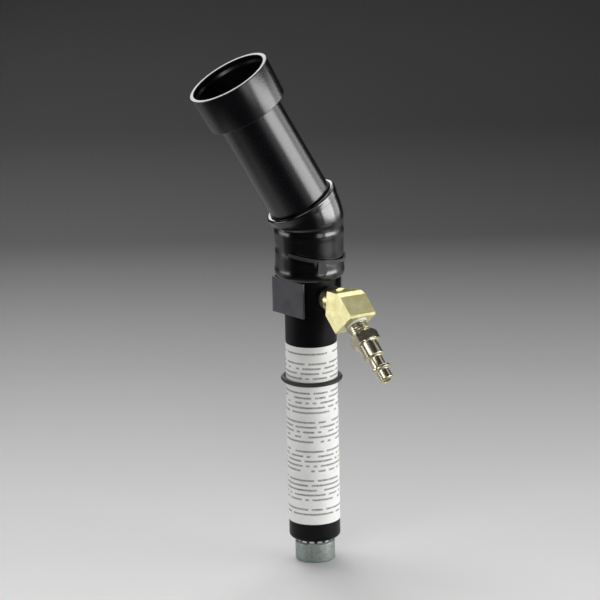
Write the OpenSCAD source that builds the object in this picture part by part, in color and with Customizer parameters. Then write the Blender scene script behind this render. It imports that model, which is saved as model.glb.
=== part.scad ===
// Belt-worn vortex tube air cooler.
// Millimetres, +Z up along the tube, origin at the middle of the knob's foot.
// The air inlet points to -Y, the web of the belt bracket faces +Y.

/* [Control knob] */
// Diameter of the knob
knob_d = 24.6; // [22:0.1:26]
// Height of the knob
knob_h = 12.6; // [11:0.1:16]
// Chamfer round the knob's foot
knob_foot_chamfer = 0.6; // [0.2:0.1:1.2]
// Height of the sloping shoulder at the knob's top
knob_shoulder_h = 1.2; // [0.4:0.1:2]
// How far that shoulder draws in
knob_shoulder_in = 0.9; // [0.4:0.1:1.6]
// Exhaust slot between the knob and the end cap
exhaust_gap = 1.6; // [1:0.1:3]

/* [Hot-end valve] */
// Diameter of the stem where it runs in the valve body
stem_d = 8; // [7.4:0.1:8.6]
// Depth of the stem's seat in the knob
stem_seat = 8.6; // [6:0.1:9.5]
// Diameter of the shank behind the cone
shank_d = 6; // [4.5:0.1:6.8]
// Diameter of the valve seat
seat_d = 8.8; // [8:0.1:9.4]
// Half angle of the valve cone
cone_half_angle = 25; // [18:1:32]
// How far the cone's back stands out past its seat diameter
cone_lip = 1; // [0.6:0.1:1.1]
// Diameter of the cone's blunt tip
cone_tip_d = 2.4; // [1:0.1:4]
// Length of the taper from the stem to its shank
shank_taper_l = 1; // [0.4:0.1:2]
// Length of the stem's bore above the end cap's floor
stem_bore_l = 11.8; // [10:0.1:14]
// Height of the valve chamber
chamber_h = 11; // [9:0.1:14]
// Diameter of the valve chamber
chamber_d = 12; // [11.4:0.1:12.6]
// Length of the valve seat
seat_l = 3; // [2:0.1:5]
// Depth of the hot tube's socket in the valve body
hot_socket_l = 9; // [6:0.1:12]
// Diameter of the valve body
valve_body_d = 16.4; // [15.6:0.1:17]
// Diameter of the boss that seats in the end cap
valve_boss_d = 14; // [13:0.1:14.8]
// How far the boss stays back from the end cap's lower face
boss_recess = 0.5; // [0.2:0.1:1.5]
// Number of exhaust ports in the valve body
port_count = 6; // [4:1:8]
// Diameter of an exhaust port
port_d = 3.2; // [2:0.1:3.6]
// Thickness of the stem seal's cord
stem_seal_d = 1.2; // [1:0.1:1.4]
// Height of the stem seal above the end cap's floor
stem_seal_rise = 4.8; // [4:0.1:6]

/* [End cap] */
// Height of the cap's rounded part
cap_h = 3; // [2.2:0.1:4]
// Diameter of the cap's lower face
cap_face_d = 24.6; // [24:0.1:27]
// Height of the cap's skirt inside the jacket
cap_skirt_h = 10; // [6:0.5:14]
// Wall of the cap's skirt
cap_skirt_wall = 2; // [1.2:0.1:2.6]
// Number of exhaust holes in the cap
exhaust_count = 8; // [4:1:10]
// Diameter of an exhaust hole
exhaust_d = 2.6; // [1.6:0.1:3]

/* [Jacket] */
// Outer diameter of the jacket and of the head
jacket_d = 31.75; // [31:0.05:34]
// Wall of the jacket
jacket_wall = 1.6; // [1:0.1:2]
// Length of the jacket
jacket_l = 143.4; // [130:0.1:170]
// Distance from the jacket's lower end to the label
label_rise = 9.2; // [4:0.1:12]
// Height of the label
label_h = 114.9; // [100:0.1:120]
// Thickness of the label
label_t = 0.15; // [0.1:0.01:0.3]
// Open seam of the label at the back, as an angle
label_seam = 8; // [2:1:30]
// Height of the loose ring above the jacket's lower end
ring_rise = 100.6; // [20:0.1:115]
// Cord thickness of the loose ring
ring_cord_d = 2.9; // [2:0.1:3.5]
// How much wider than the label the ring's hole is
ring_slack = 0.3; // [0.1:0.1:1]

/* [Hot tube and muffler] */
// Outer diameter of the hot tube
hot_tube_d = 12.7; // [12:0.05:13.4]
// Wall of the hot tube
hot_tube_wall = 0.9; // [0.6:0.05:1.2]
// Wall of the felt muffler sleeve
muffler_wall = 6.8; // [4:0.1:7]
// Free space at each end of the muffler sleeve
muffler_gap = 0.5; // [0.3:0.1:5]

/* [Head] */
// Length of the head's spigot inside the jacket
head_spigot_l = 12; // [8:0.1:16]
// How far the head's top stands above the bracket
head_rise = 0.6; // [0.4:0.1:2]
// Depth of the flats milled for the bracket
flat_depth = 0.2; // [0.1:0.05:1.5]
// Height of the inlet axis above the head's lower shoulder
inlet_rise = 11; // [10:0.1:12]
// Diameter of the air chamber round the generator
plenum_d = 19; // [18.6:0.1:20]
// Height of the air chamber
plenum_h = 9; // [8:0.1:10]
// Web between the cold cap's thread and the inlet port's floor
port_web = 0.8; // [0.5:0.1:1.5]
// Diameter of the thread that takes the cold cap
cap_thread_d = 22; // [21.6:0.1:23.4]

/* [Generator] */
// Outer diameter of the nozzle ring
nozzle_ring_d = 16; // [15.4:0.1:16.6]
// Number of tangential nozzles
nozzle_count = 6; // [4:1:8]
// Width of a nozzle
nozzle_w = 1.1; // [0.6:0.1:1.4]
// Height of a nozzle
nozzle_h = 2.6; // [1.4:0.1:3.2]
// Diameter of the cold orifice
orifice_d = 6; // [4:0.1:8]
// Thickness of the generator's flange
gen_flange_t = 2.4; // [2:0.1:2.8]
// Cord thickness of the generator seal
gen_seal_d = 1.2; // [0.8:0.1:1.4]

/* [Cold end] */
// How much the cuff's journal stands out past the head
journal_step = 2.4; // [1.5:0.1:4]
// Height of the journal
journal_h = 28; // [22:0.1:30]
// Wall of the journal
journal_wall = 2.8; // [2.4:0.1:4]
// Thickness of the journal's floor
journal_floor = 4; // [3.4:0.1:6]
// Wall of the cold cap's plug at its wide end
cap_plug_wall = 2.5; // [2:0.1:4]
// Rise of the dished floor inside the journal
journal_dish = 3; // [1:0.1:6]
// Chamfer at the journal's top
journal_chamfer = 0.6; // [0.3:0.1:1]
// Cord thickness of the cuff seal
cuff_seal_d = 1.8; // [1.4:0.1:2]
// Distance of the cuff seal below the journal's top
cuff_seal_drop = 6; // [4:0.1:10]
// Cord thickness of the seal under the journal
cap_seal_d = 1.4; // [1:0.1:1.6]

/* [Belt bracket] */
// Height of the bracket
bracket_h = 22.4; // [20:0.1:28]
// Thickness of the bracket's sheet
bracket_t = 1.5; // [1:0.1:2]
// Reach of the wings in front of the tube's axis
wing_reach = 11.2; // [8:0.1:15]
// Outer radius of the folds
fold_r = 2.5; // [2.2:0.1:4]
// Gap between the bracket and the jacket's upper end
bracket_rise = 0.4; // [0.2:0.1:1]
// Distance between the two bracket screws
screw_pitch = 11; // [8:0.1:13]
// Thread diameter of a bracket screw
screw_d = 3; // [2.5:0.1:4]
// Head diameter of a bracket screw
screw_head_d = 5.5; // [5:0.1:6.5]
// Length of a bracket screw
screw_l = 4.2; // [3.6:0.1:4.4]
// Free space under a bracket screw's end
screw_end_gap = 0.3; // [0.2:0.1:0.6]

/* [Inlet elbow] */
// Diameter of the elbow's thread in the head
inlet_thread_d = 13.7; // [12:0.1:14.4]
// Distance of the turned collar from the head
collar_gap = 3.6; // [2:0.1:5]
// Length of the turned collar
collar_l = 5.6; // [4:0.1:7]
// Diameter of the turned collar
collar_d = 17; // [15:0.1:18]
// Height of the straight arm
arm_h = 15.3; // [14.4:0.1:16.6]
// Width of the elbow's bar stock
bar_w = 21.6; // [18:0.1:24]
// Distance of the elbow's corner from the head
elbow_reach = 14.2; // [13:0.1:17]
// Height of the slanting arm's face
slant_h = 18.1; // [17:0.1:20]
// Length of the slanting arm from the elbow's corner
slant_l = 15.3; // [14:0.1:20]
// Angle between the two arms
slant_angle = 45; // [40:1:50]
// Turn of the elbow about its thread
elbow_turn = 6; // [-20:1:20]
// Cut across the elbow's outer corner
corner_cut = 2.2; // [0.6:0.1:3]
// Bevel along the upper edge of the slanting arm's face
face_cut = 1.2; // [0.4:0.1:1.8]
// Air bore of the straight arm
inlet_bore_d = 8; // [6:0.1:8.6]
// Air bore of the slanting arm
slant_bore_d = 9.4; // [9:0.1:10.4]
// How far each drilled bore runs past the elbow's corner
bore_overrun = 2; // [1.5:0.1:3]
// Depth of the plug's thread in the slanting arm
plug_port_l = 9; // [6:0.1:10]

/* [Quick-connect plug] */
// Thread diameter of the plug
plug_thread_d = 13.2; // [12:0.1:13.4]
// Gap between the elbow and the plug's hexagon
plug_root_l = 8.4; // [5:0.1:10]
// Width across the flats of the hexagon
hex_af = 15.9; // [15:0.1:17]
// Length of the hexagon
hex_l = 6.8; // [5:0.1:9]
// Chamfer at both ends of the hexagon
hex_chamfer = 0.7; // [0.3:0.1:1.2]
// Turn of the hexagon about the plug's axis
hex_turn = 39; // [0:1:59]
// Diameter of the barrel behind the groove
barrel_d = 12.7; // [11.6:0.1:13.4]
// Length of the barrel
barrel_l = 10.4; // [8:0.1:14]
// Diameter of the locking groove
groove_d = 8.7; // [8:0.1:9.4]
// Length of the locking groove
groove_l = 7; // [5:0.1:9]
// Length of the slopes at the groove and in front of the rib
groove_slope_l = 0.8; // [0.4:0.1:1.2]
// Diameter of the rib in front of the groove
rib_d = 12.3; // [11:0.1:12.7]
// Length of the rib
rib_l = 2.6; // [2:0.1:4]
// Diameter of the tip
tip_d = 9; // [8:0.1:9.6]
// Length of the tip
tip_l = 6.6; // [5:0.1:9]
// Chamfer at the tip's end
tip_chamfer = 0.8; // [0.3:0.1:1.2]
// Air bore of the plug
plug_bore_d = 5; // [3.5:0.1:5.4]
// Free space behind the plug's thread in the elbow
plug_end_gap = 0.5; // [0.3:0.1:2]
// Wall of the thread tape
tape_t = 0.7; // [0.3:0.1:0.9]
// Width of the thread tape that shows
tape_w = 1.5; // [0.8:0.1:4]

/* [Outlet elbow] */
// Gap between the head's top and the cuff
cuff_gap = 0.8; // [0.4:0.1:2]
// Height of the cuff
cuff_h = 31.6; // [30:0.1:40]
// Wall of the cuff
cuff_wall = 2.9; // [2:0.1:4]
// Wall of the bend round the outlet tube's seat
bend_wall = 1.9; // [1.2:0.1:2.2]
// Bend of the elbow
bend_angle = 28; // [15:1:40]
// Direction in which the outlet leans, from +X
lean_dir = 147; // [0:1:359]
// Radius of the bend's inner corner
bend_corner_r = 0.9; // [0.4:0.1:4]
// Height of the socket's band, which is the socket's depth
socket_band_h = 5.2; // [4:0.1:8]
// Wall of the socket at its rim
rim_wall = 3.2; // [2.4:0.1:4]
// How much the band draws in below its rim
band_taper = 0.4; // [0.2:0.1:1]
// Air bore of the bend
bend_bore_d = 35; // [33.6:0.1:35.4]
// Air bore of the shoulder above the journal
shoulder_bore_d = 33; // [30:0.1:33.2]

/* [Outlet tube] */
// Outer diameter of the outlet tube
tube_d = 40; // [39:0.1:41]
// Wall of the outlet tube
tube_wall = 2.2; // [1.4:0.1:3]
// Length of the tube between the socket's rim and its collar
tube_l = 67.1; // [40:0.1:90]
// Length of the collar
collar_len = 24.7; // [20:0.1:32]
// Outer diameter of the collar at its root
collar_root_d = 50.8; // [49:0.1:53]
// How much the collar's radius grows to the mouth
collar_flare = 1.3; // [0.3:0.1:2]
// Wall of the collar at its root
collar_wall = 1.9; // [1.4:0.1:2.6]
// Thickness of the collar's floor
collar_floor = 3; // [2:0.1:4]
// Depth of the lip recess in the mouth
lip_depth = 3.2; // [1.5:0.1:5]
// Width of the lip recess
lip_w = 0.6; // [0.4:0.1:1.2]
// Chamfer on the collar's edges
collar_edge = 0.5; // [0.2:0.1:0.8]

/* [Cuff clip] */
// Width of the clip's band
clip_w = 2; // [1.4:0.1:3]
// Thickness of the clip's band
clip_t = 1; // [0.6:0.1:1.4]
// Height of the clip's middle above the cuff's lower edge
clip_rise = 14.6; // [13:0.1:16]
// Tilt of the clip on the cuff
clip_tilt = 11; // [0:1:12]
// Side on which the clip stands high, from +X
clip_high_dir = 136; // [120:1:150]
// Where the clip's band starts, from +X
clip_start = 191; // [180:1:200]
// Arc that the clip's band covers
clip_arc = 275; // [250:1:320]
// Where the tab hangs, from +X
tab_dir = 246; // [225:1:280]
// Width of the tab at its foot
tab_w = 6; // [4:0.1:8]
// Width of the tab at the band
tab_top_w = 4.6; // [3:0.1:7]
// Length of the tab
tab_l = 6.6; // [4:0.1:7]

/* [Fits] */
// Radial clearance of a turning or sliding fit
running_fit = 0.05; // [0.02:0.01:0.1]
// Radial clearance of pieces that are screwed or glued together
seat_fit = 0.02; // [0.01:0.01:0.05]
// Free space of a rubber seal in its groove
seal_fit = 0.05; // [0.02:0.01:0.1]
// Wall between a seal's groove and the edge beside it
seal_lip = 0.4; // [0.3:0.1:0.6]
// Clearance of the closed valve cone from its seat
valve_fit = 0.1; // [0.05:0.01:0.2]
// Space between the journal's top and the shoulder in the cuff
shoulder_gap = 0.3; // [0.2:0.05:0.6]

/* [Hidden] */
$fn = 96;
// How far forms that make one piece run into each other
lap = 0.4;
// How far a cutting form runs past the face it cuts
cut_past = 1;

// Colours
anodised_black = [0.11, 0.10, 0.11];
moulded_black = [0.07, 0.07, 0.08];
sheet_black = [0.15, 0.15, 0.16];
plated_grey = [0.50, 0.54, 0.52];
bar_brass = [0.82, 0.78, 0.55];
plated_steel = [0.66, 0.63, 0.54];
bare_alloy = [0.70, 0.70, 0.71];
paper_white = [0.93, 0.93, 0.92];
tape_white = [0.92, 0.92, 0.90];
felt_grey = [0.55, 0.53, 0.50];
rubber_black = [0.05, 0.05, 0.05];
nozzle_tan = [0.62, 0.55, 0.42];

// Heights along the tube
cap_z = knob_h + exhaust_gap;
jacket_z = cap_z + cap_h;
head_z = jacket_z + jacket_l;
bracket_z = head_z + bracket_rise;
bracket_top = bracket_z + bracket_h;
head_top = bracket_top + head_rise;
inlet_z = head_z + inlet_rise;
plenum_z = inlet_z - plenum_h / 2;
plenum_top = plenum_z + plenum_h;
cuff_z = head_top + cuff_gap;
bend_z = cuff_z + cuff_h;
journal_top = head_top + journal_h;

// Valve heights
chamber_z = jacket_z + stem_bore_l;
seat_z = chamber_z + chamber_h;
hot_z = seat_z + seat_l;
valve_top = hot_z + hot_socket_l;
stem_seal_z = jacket_z + stem_seal_rise;

// Radii
jacket_r = jacket_d / 2;
jacket_bore_r = jacket_r - jacket_wall;
spigot_r = jacket_bore_r - seat_fit;
flat_off = jacket_r - flat_depth;
hot_r = hot_tube_d / 2;
hot_bore_r = hot_r - hot_tube_wall;
collar_out = jacket_r + collar_gap;
elbow_out = jacket_r + elbow_reach;
port_floor = max(plenum_d, cap_thread_d) / 2 + port_web;
journal_r = jacket_r + journal_step;
cuff_bore_r = journal_r + running_fit;
cuff_r = cuff_bore_r + cuff_wall;
socket_bore_r = tube_d / 2 + seat_fit;
bend_r = socket_bore_r + bend_wall;
bend_path_r = bend_r + bend_corner_r;
rim_r = socket_bore_r + rim_wall;
collar_bore_r = collar_root_d / 2 - collar_wall;

// Distances along the leaning outlet, from the corner of its axis
bend_tangent = bend_path_r * tan(bend_angle / 2);
corner_z = bend_z + bend_tangent;
rim_at = bend_tangent + socket_band_h;
collar_at = rim_at + tube_l;
mouth_at = collar_at + collar_len;

// Distances along the plug, from the elbow's slanting face
hex_at = plug_root_l;
barrel_at = hex_at + hex_l;
groove_at = barrel_at + barrel_l;
rib_at = groove_at + groove_l;
tip_at = rib_at + rib_l;
plug_end = tip_at + tip_l;

// Rubber ring lying level at the given height
module seal_ring(mid_r, cord_d, z) {
    translate([0, 0, z])
        rotate_extrude()
            translate([mid_r, 0])
                circle(d = cord_d, $fn = 32);
}

// Plain tube between two heights
module pipe(outer_r, inner_r, z0, z1) {
    translate([0, 0, z0])
        difference() {
            cylinder(r = outer_r, h = z1 - z0);
            translate([0, 0, -cut_past])
                cylinder(r = inner_r, h = z1 - z0 + 2 * cut_past);
        }
}

// Control knob with a blind seat for the stem
module knob() {
    knob_r = knob_d / 2;
    color(plated_grey)
        difference() {
            rotate_extrude()
                polygon([
                    [0, 0],
                    [knob_r - knob_foot_chamfer, 0],
                    [knob_r, knob_foot_chamfer],
                    [knob_r, knob_h - knob_shoulder_h],
                    [knob_r - knob_shoulder_in, knob_h],
                    [0, knob_h]
                ]);
            translate([0, 0, knob_h - stem_seat])
                cylinder(d = stem_d + 2 * seat_fit, h = stem_seat + cut_past);
        }
}

// Stem with its seal groove and the valve cone, drawn closed
module valve_stem() {
    stem_r = stem_d / 2;
    seat_r = seat_d / 2;
    closed_r = seat_r - valve_fit;
    back_r = seat_r + cone_lip;
    groove_r = stem_r - running_fit - stem_seal_d - seal_fit;
    groove_half = stem_seal_d / 2 + seal_fit;
    slope = tan(cone_half_angle);
    back_z = seat_z - (back_r - closed_r) / slope;
    tip_z = seat_z + (closed_r - cone_tip_d / 2) / slope;
    color(bar_brass)
        rotate_extrude()
            polygon([
                [0, knob_h - stem_seat],
                [stem_r, knob_h - stem_seat],
                [stem_r, stem_seal_z - groove_half],
                [groove_r, stem_seal_z - groove_half],
                [groove_r, stem_seal_z + groove_half],
                [stem_r, stem_seal_z + groove_half],
                [stem_r, chamber_z - shank_taper_l],
                [shank_d / 2, chamber_z],
                [shank_d / 2, back_z],
                [back_r, back_z],
                [cone_tip_d / 2, tip_z],
                [0, tip_z]
            ]);
}

// Small rubber ring that gives the valve its drag
module stem_seal() {
    mid_r = stem_d / 2 - running_fit - stem_seal_d / 2;
    color(rubber_black)
        seal_ring(mid_r, stem_seal_d, stem_seal_z);
}

// End cap: domed face, skirt inside the jacket, exhaust holes round the valve boss
module end_cap() {
    face_r = cap_face_d / 2;
    hole_path_r = (valve_body_d / 2 + spigot_r - cap_skirt_wall) / 2;
    color(anodised_black)
        difference() {
            union() {
                translate([0, 0, cap_z])
                    rotate_extrude()
                        polygon(concat(
                            [[0, 0], [face_r, 0]],
                            [for (a = [15:15:90]) [
                                face_r + (jacket_r - face_r) * sin(a),
                                cap_h * (1 - cos(a))
                            ]],
                            [[0, cap_h]]
                        ));
                pipe(spigot_r, spigot_r - cap_skirt_wall, jacket_z - lap, jacket_z + cap_skirt_h);
            }
            translate([0, 0, cap_z - cut_past])
                cylinder(d = valve_boss_d + 2 * seat_fit, h = cap_h + 2 * cut_past);
            for (i = [0:exhaust_count - 1])
                rotate([0, 0, i * 360 / exhaust_count])
                    translate([hole_path_r, 0, cap_z - cut_past])
                        cylinder(d = exhaust_d, h = cap_h + 2 * cut_past, $fn = 32);
        }
}

// Valve body: boss in the end cap, stem bore, chamber with ports, cone seat, hot tube socket
module valve_body() {
    stem_bore_r = stem_d / 2 + running_fit;
    port_z = chamber_z + port_d;
    color(bar_brass)
        difference() {
            union() {
                translate([0, 0, cap_z + boss_recess])
                    cylinder(d = valve_boss_d, h = cap_h - boss_recess + lap);
                translate([0, 0, jacket_z])
                    cylinder(d = valve_body_d, h = valve_top - jacket_z);
            }
            translate([0, 0, cap_z - cut_past])
                cylinder(r = stem_bore_r, h = chamber_z - cap_z + 2 * cut_past);
            translate([0, 0, chamber_z])
                cylinder(d = chamber_d, h = chamber_h);
            translate([0, 0, seat_z - cut_past])
                cylinder(d = seat_d, h = seat_l + 2 * cut_past);
            translate([0, 0, hot_z])
                cylinder(r = hot_r + seat_fit, h = hot_socket_l + cut_past);
            for (i = [0:port_count - 1])
                rotate([0, 0, i * 360 / port_count])
                    translate([0, 0, port_z])
                        rotate([0, 90, 0])
                            cylinder(d = port_d, h = valve_body_d, $fn = 32);
        }
}

// Outer jacket
module jacket() {
    color(anodised_black)
        pipe(jacket_r, jacket_bore_r, jacket_z, head_z);
}

// Label wrapped round the jacket, with its open seam towards the belt
module label() {
    color(paper_white)
        translate([0, 0, jacket_z + label_rise])
            rotate([0, 0, 90 + label_seam / 2])
                rotate_extrude(angle = 360 - label_seam)
                    translate([jacket_r + seat_fit, 0])
                        square([label_t, label_h]);
}

// Loose rubber ring over the label
module loose_ring() {
    color(rubber_black)
        seal_ring(
            jacket_r + seat_fit + label_t + (ring_slack + ring_cord_d) / 2, ring_cord_d,
            jacket_z + ring_rise
        );
}

// Hot tube from the valve body to the generator
module hot_tube() {
    color(bare_alloy)
        pipe(hot_r, hot_bore_r, hot_z, plenum_z);
}

// Felt sleeve that quietens the exhaust
module muffler_sleeve() {
    inner_r = hot_r + seat_fit;
    color(felt_grey)
        pipe(
            inner_r + muffler_wall, inner_r,
            valve_top + muffler_gap, head_z - head_spigot_l - muffler_gap
        );
}

// Head: spigot in the jacket, flats for the bracket, air chamber, inlet port, cold cap thread
module vortex_head() {
    thread_r = cap_thread_d / 2 + seat_fit;
    seal_in = thread_r + seal_lip;
    flat_h = head_top - head_z;
    flat_z = head_z + bracket_rise / 2;
    color(anodised_black)
        difference() {
            union() {
                translate([0, 0, head_z - head_spigot_l])
                    cylinder(r = spigot_r, h = head_spigot_l + lap);
                translate([0, 0, head_z])
                    cylinder(r = jacket_r, h = flat_h);
            }
            // flats under both wings and the web
            for (side = [-1, 1])
                translate([side * (flat_off + jacket_r) - jacket_r, -jacket_r - cut_past, flat_z])
                    cube([2 * jacket_r, 2 * (jacket_r + cut_past), flat_h]);
            translate([-jacket_r - cut_past, flat_off, flat_z])
                cube([2 * (jacket_r + cut_past), 2 * jacket_r, flat_h]);
            // hot tube, air chamber and cold cap, from below
            translate([0, 0, head_z - head_spigot_l - cut_past])
                cylinder(r = hot_r + seat_fit, h = plenum_z - head_z + head_spigot_l + 2 * cut_past);
            translate([0, 0, plenum_z])
                cylinder(d = plenum_d, h = plenum_h + cut_past);
            translate([0, 0, plenum_top])
                cylinder(r = thread_r, h = head_top - plenum_top + cut_past);
            // groove for the seal under the journal
            pipe(seal_in + 2 * seal_fit + cap_seal_d, seal_in, head_top - cap_seal_d, head_top + cut_past);
            // inlet port
            translate([0, -port_floor, inlet_z])
                rotate([90, 0, 0])
                    cylinder(d = inlet_thread_d + 2 * seat_fit, h = jacket_r);
            translate([0, 0, inlet_z])
                rotate([90, 0, 0])
                    cylinder(d = inlet_bore_d, h = port_floor + cut_past);
            // tapped holes for the bracket screws
            bracket_holes(screw_d + 2 * seat_fit, screw_l);
        }
}

// Cylinders along the two bracket screws, from the web's outer face inwards
module bracket_holes(hole_d, hole_l) {
    for (side = [-1, 1])
        translate([0, flat_off + bracket_t, bracket_z + bracket_h / 2 + side * screw_pitch / 2])
            rotate([90, 0, 0])
                cylinder(d = hole_d, h = hole_l, $fn = 32);
}

// Countersunk heads of the two bracket screws
module bracket_heads(grow) {
    head_h = (screw_head_d - screw_d) / 2;
    for (side = [-1, 1])
        translate([0, flat_off + bracket_t, bracket_z + bracket_h / 2 + side * screw_pitch / 2])
            rotate([90, 0, 0])
                cylinder(d1 = screw_head_d + grow, d2 = screw_d + grow, h = head_h, $fn = 32);
}

// Generator: vortex ring with tangential nozzles and the cold orifice
module generator() {
    flange_z = plenum_top - gen_flange_t;
    flange_r = plenum_d / 2 - seat_fit;
    groove_r = flange_r - gen_seal_d - seal_fit;
    groove_top = plenum_top - seal_lip;
    color(nozzle_tan)
        difference() {
            union() {
                translate([0, 0, plenum_z])
                    cylinder(d = nozzle_ring_d, h = plenum_h);
                translate([0, 0, flange_z])
                    cylinder(r = flange_r, h = gen_flange_t);
            }
            translate([0, 0, plenum_z - cut_past])
                cylinder(r = hot_bore_r, h = flange_z - plenum_z + cut_past);
            translate([0, 0, plenum_z])
                cylinder(d = orifice_d, h = plenum_h + cut_past);
            for (i = [0:nozzle_count - 1])
                rotate([0, 0, i * 360 / nozzle_count])
                    translate([0, hot_bore_r - nozzle_w, inlet_z - nozzle_h / 2])
                        cube([nozzle_ring_d, nozzle_w, nozzle_h]);
            pipe(plenum_d, groove_r, groove_top - gen_seal_d - 2 * seal_fit, groove_top);
        }
}

// Rubber ring round the generator's flange
module generator_seal() {
    mid_r = plenum_d / 2 - seat_fit - gen_seal_d / 2;
    color(rubber_black)
        seal_ring(mid_r - seal_fit / 2, gen_seal_d, plenum_top - seal_lip - seal_fit - gen_seal_d / 2);
}

// Cold cap: plug screwed into the head, flaring cold passage, journal for the cuff
module cold_cap() {
    plug_z = plenum_top;
    floor_top = head_top + journal_floor;
    groove_r = journal_r - cuff_seal_d - seal_fit;
    groove_z = journal_top - cuff_seal_drop;
    groove_half = cuff_seal_d / 2 + seal_fit;
    bore_r = journal_r - journal_wall;
    color(bare_alloy)
        rotate_extrude()
            polygon([
                [orifice_d / 2, plug_z],
                [cap_thread_d / 2, plug_z],
                [cap_thread_d / 2, head_top],
                [journal_r, head_top],
                [journal_r, groove_z - groove_half],
                [groove_r, groove_z - groove_half],
                [groove_r, groove_z + groove_half],
                [journal_r, groove_z + groove_half],
                [journal_r, journal_top - journal_chamfer],
                [journal_r - journal_chamfer, journal_top],
                [bore_r, journal_top],
                [bore_r, floor_top + journal_dish],
                [cap_thread_d / 2 - cap_plug_wall, floor_top]
            ]);
}

// Rubber ring between the head's top and the journal
module cap_seal() {
    color(rubber_black)
        seal_ring(
            cap_thread_d / 2 + seat_fit + seal_lip + seal_fit + cap_seal_d / 2, cap_seal_d - 2 * seal_fit,
            head_top - cap_seal_d / 2
        );
}

// Rubber ring between the journal and the cuff
module cuff_seal() {
    color(rubber_black)
        seal_ring(journal_r - cuff_seal_d / 2, cuff_seal_d, journal_top - cuff_seal_drop);
}

// Belt bracket: one folded sheet, open towards the inlet
module belt_bracket() {
    outer = flat_off + bracket_t;
    color(sheet_black)
        difference() {
            translate([0, 0, bracket_z])
                linear_extrude(height = bracket_h) {
                    for (side = [-1, 1]) {
                        translate([side * (outer - bracket_t / 2) - bracket_t / 2, -wing_reach])
                            square([bracket_t, wing_reach + outer - fold_r]);
                        intersection() {
                            translate([side * (outer - fold_r), outer - fold_r])
                                difference() {
                                    circle(r = fold_r);
                                    circle(r = fold_r - bracket_t);
                                }
                            translate([side * outer - (side + 1) / 2 * fold_r, outer - fold_r])
                                square(fold_r);
                        }
                    }
                    translate([fold_r - outer, outer - bracket_t])
                        square([2 * (outer - fold_r), bracket_t]);
                }
            bracket_holes(screw_d + 2 * seat_fit, 2 * bracket_t);
            bracket_heads(2 * seat_fit);
        }
}

// Two countersunk screws that hold the bracket on the head
module bracket_screws() {
    color(plated_steel) {
        bracket_holes(screw_d, screw_l - screw_end_gap);
        bracket_heads(0);
    }
}

// Children drawn along +Z are turned to run out along the inlet, with the elbow's own turn
module along_inlet() {
    translate([0, 0, inlet_z])
        rotate([90, 0, 0])
            rotate([0, 0, -elbow_turn])
                children();
}

// Children drawn along +Z are turned to run out along the slanting arm, from its face
module along_plug() {
    along_inlet()
        translate([0, 0, elbow_out])
            rotate([slant_angle, 0, 0])
                translate([0, 0, slant_l])
                    children();
}

// Side outline of the elbow's bar: distance out along x, height along y
function slant_point(along, across) = [
    elbow_out + along * cos(slant_angle) + across * sin(slant_angle),
    -along * sin(slant_angle) + across * cos(slant_angle)
];
// Where the side of the slanting arm meets the height h
function slant_side(across, h) = [
    slant_point(0, across)[0] + (slant_point(0, across)[1] - h) / tan(slant_angle), h
];

// Brass street elbow: turned thread and collar, bar-stock body, slanting outlet
module inlet_elbow() {
    arm_at = collar_out + collar_l;
    half = arm_h / 2;
    thread_from = port_floor + seat_fit;
    corner = slant_side(slant_h / 2, half);
    outline = [
        [arm_at, half],
        corner - [corner_cut, 0],
        corner + corner_cut * [cos(slant_angle), -sin(slant_angle)],
        slant_point(slant_l - face_cut, slant_h / 2),
        slant_point(slant_l, slant_h / 2 - face_cut),
        slant_point(slant_l, -slant_h / 2),
        [arm_at, -half]
    ];
    color(bar_brass)
        difference() {
            union() {
                along_inlet()
                    translate([0, 0, thread_from])
                        cylinder(d = inlet_thread_d, h = collar_out - thread_from + lap);
                along_inlet()
                    translate([0, 0, collar_out])
                        cylinder(d = collar_d, h = collar_l + lap);
                along_inlet()
                    rotate([0, -90, 0])
                        translate([0, 0, -bar_w / 2])
                            linear_extrude(height = bar_w)
                                polygon(outline);
            }
            along_inlet()
                translate([0, 0, thread_from - cut_past])
                    cylinder(d = inlet_bore_d, h = elbow_out - thread_from + cut_past + bore_overrun);
            along_plug()
                translate([0, 0, -slant_l - bore_overrun])
                    cylinder(d = slant_bore_d, h = slant_l + bore_overrun);
            along_plug()
                translate([0, 0, -plug_port_l])
                    cylinder(d = plug_thread_d + 2 * seat_fit, h = plug_port_l + cut_past);
        }
}

// White tape that shows round the root of the plug's thread
module thread_tape() {
    color(tape_white)
        along_plug()
            pipe(plug_thread_d / 2 + tape_t, plug_thread_d / 2 + seat_fit, 0, tape_w);
}

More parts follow.
